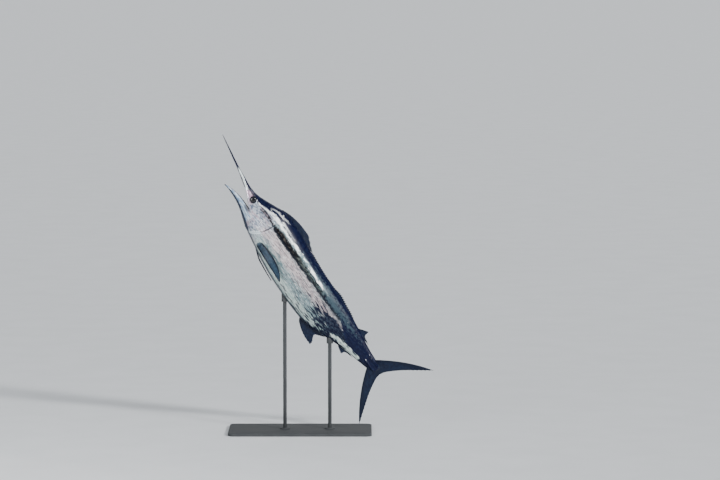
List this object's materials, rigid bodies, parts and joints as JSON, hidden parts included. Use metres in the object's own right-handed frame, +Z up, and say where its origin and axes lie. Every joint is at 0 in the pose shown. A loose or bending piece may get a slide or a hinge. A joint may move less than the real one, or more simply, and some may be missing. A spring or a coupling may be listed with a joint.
{
  "type": "striped marlin on a display stand",
  "caption": "Life-size striped marlin leaping head up with its mouth open, dorsal fin folded, held by upright rods on a flat rounded base.",
  "frame": {"origin": "middle of the underside of the stand's base, on the floor", "axes": "+Z up, +X to the side that the back and tail face in the picture, +Y away from the viewer, on the fish's right side"},
  "size_m": [1.9481, 0.68, 2.7477],
  "materials": {
    "skin_back": "wet dark navy skin with very fine scales",
    "skin_side": "wet silvery skin, mottled dark above and pale below",
    "skin_pale": "wet pale blue-white skin",
    "fin_dark": "wet blue-black membrane over stiff rays",
    "fin_pale": "wet blue-grey membrane with paler edges",
    "eye": "glossy dark eye",
    "stand_metal": "satin dark grey paint"
  },
  "bodies": {
    "root": {"head": "skin_back", "bill": "skin_back", "gill_cover_left": "skin_side", "gill_cover_right": "skin_side", "eye_left": "eye", "eye_right": "eye", "lower_jaw": "skin_pale", "trunk_front": "skin_side", "trunk_rear": "skin_side", "tail_stock": "skin_back", "dorsal_fin_lobe": "fin_dark", "dorsal_fin_fringe": "fin_dark", "second_dorsal_fin": "fin_dark", "second_anal_fin": "fin_dark", "anal_fin": "fin_dark", "tail_fin_upper": "fin_dark", "tail_fin_lower": "fin_dark", "pectoral_fin_left": "fin_pale", "pectoral_fin_right": "fin_pale", "pelvic_fin_left": "fin_dark", "pelvic_fin_right": "fin_dark", "stand_base": "stand_metal", "stand_foot_front": "stand_metal", "stand_foot_rear": "stand_metal", "stand_rod_front": "stand_metal", "stand_rod_rear": "stand_metal", "stand_pad_front": "stand_metal", "stand_pad_rear": "stand_metal"}
  },
  "joints": []
}
